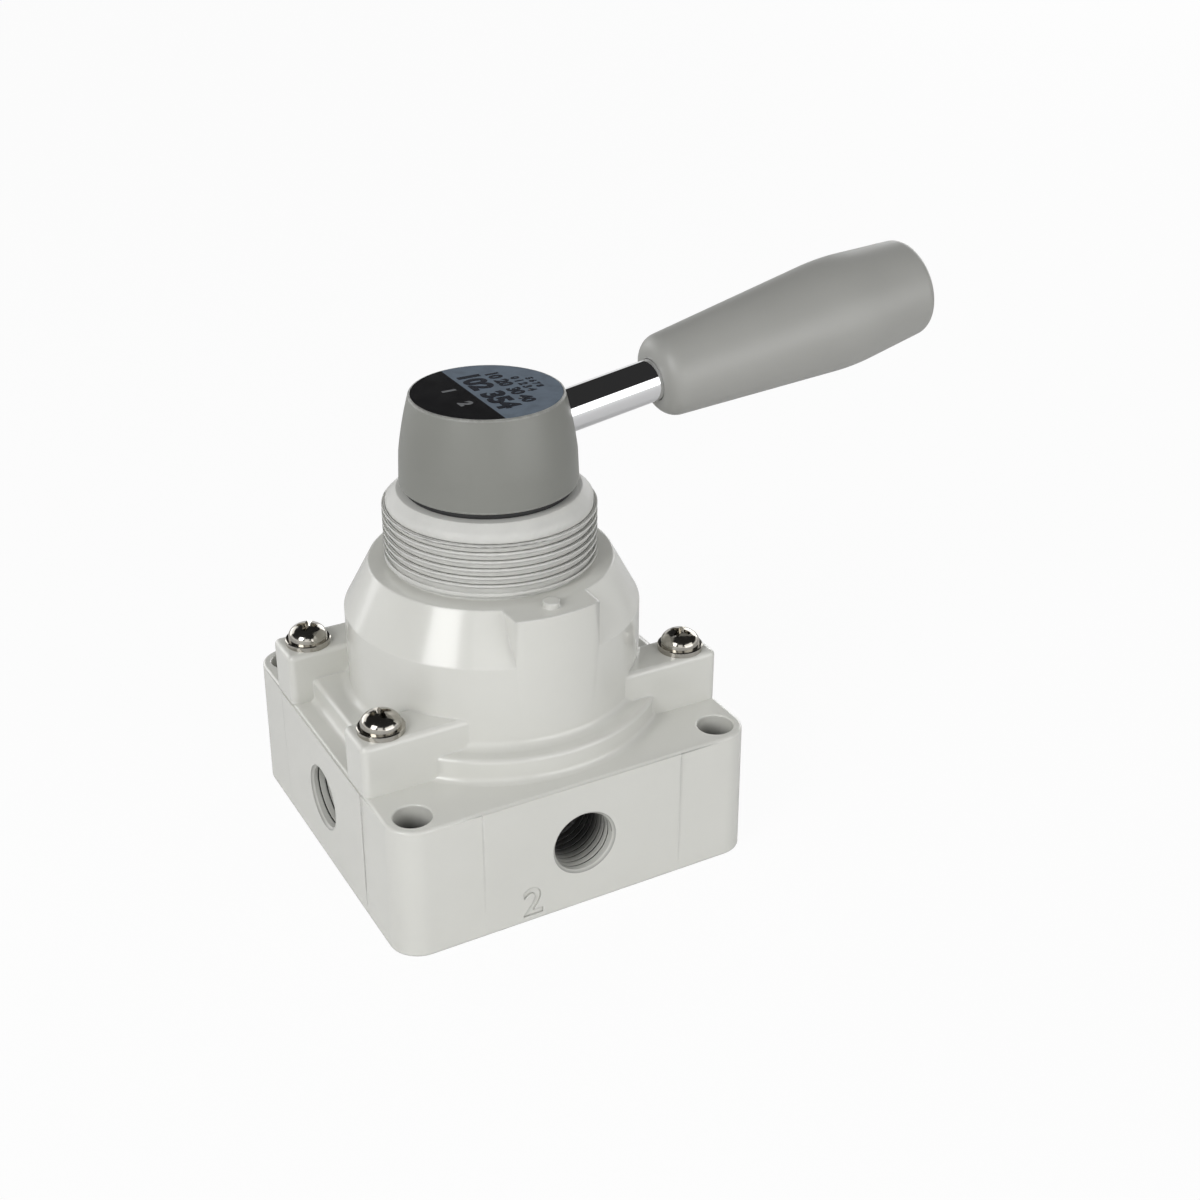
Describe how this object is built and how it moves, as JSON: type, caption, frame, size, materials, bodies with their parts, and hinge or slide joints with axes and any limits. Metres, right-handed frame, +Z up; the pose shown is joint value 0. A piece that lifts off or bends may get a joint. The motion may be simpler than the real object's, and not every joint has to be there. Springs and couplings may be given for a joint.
{
  "type": "hand lever air valve",
  "caption": "Hand lever rotary air valve: a sprung ball detent holds the lever at its middle and end positions, with side ports and a threaded neck for a panel.",
  "frame": {"origin": "centre of the housing's underside, on the spindle axis", "axes": "+Z up the spindle, +X the way the lever points in its middle position"},
  "size_m": [0.1261, 0.07, 0.0992],
  "materials": {
    "off_white_enamel": "semi gloss",
    "grey_knob": "satin",
    "grey_grip": "satin",
    "label_film": "satin",
    "chromed_steel": "polished",
    "nickel_screws": "polished",
    "black_rubber": "matt",
    "hard_seat": "lapped",
    "turned_steel": "turned",
    "ball_steel": "polished",
    "spring_steel": "drawn wire",
    "disc_resin": "lapped",
    "bronze_bush": "sintered"
  },
  "bodies": {
    "valve": {"housing": "off_white_enamel", "seat_gasket": "black_rubber", "seat_plate": "hard_seat", "seat_pins": "turned_steel", "joint_seal": "black_rubber", "cover": "off_white_enamel", "cover_screws": "nickel_screws", "cover_washers": "nickel_screws", "spindle_bush": "bronze_bush", "thrust_washer": "turned_steel", "detent_plate": "turned_steel", "stop_pin": "turned_steel", "dust_seal": "black_rubber"},
    "lever": {"spindle": "turned_steel", "shaft_seal": "black_rubber", "valve_disc": "disc_resin", "drive_pins": "turned_steel", "disc_spring": "spring_steel", "knob": "grey_knob", "label_plate": "label_film", "lever_rod": "chromed_steel", "lever_grip": "grey_grip", "detent_spring_right": "spring_steel", "detent_spring_left": "spring_steel"},
    "ball_right": {"detent_ball_right": "ball_steel"},
    "ball_left": {"detent_ball_left": "ball_steel"}
  },
  "joints": [
    {"name": "lever_turn", "type": "hinge", "parent": "valve", "child": "lever", "pos_m": [0, 0, 0.035], "axis": [0, 0, 1], "range_deg": [-45, 45]},
    {"name": "detent_right", "type": "slide", "parent": "lever", "child": "ball_right", "axis": [0, 0, 1], "range_m": [0, 0.0005], "stiffness_N_per_m": 500, "springref_m": 0.0005, "deforming": ["detent_spring_right"]},
    {"name": "detent_left", "type": "slide", "parent": "lever", "child": "ball_left", "axis": [0, 0, 1], "range_m": [0, 0.0005], "stiffness_N_per_m": 500, "springref_m": 0.0005, "deforming": ["detent_spring_left"]}
  ]
}
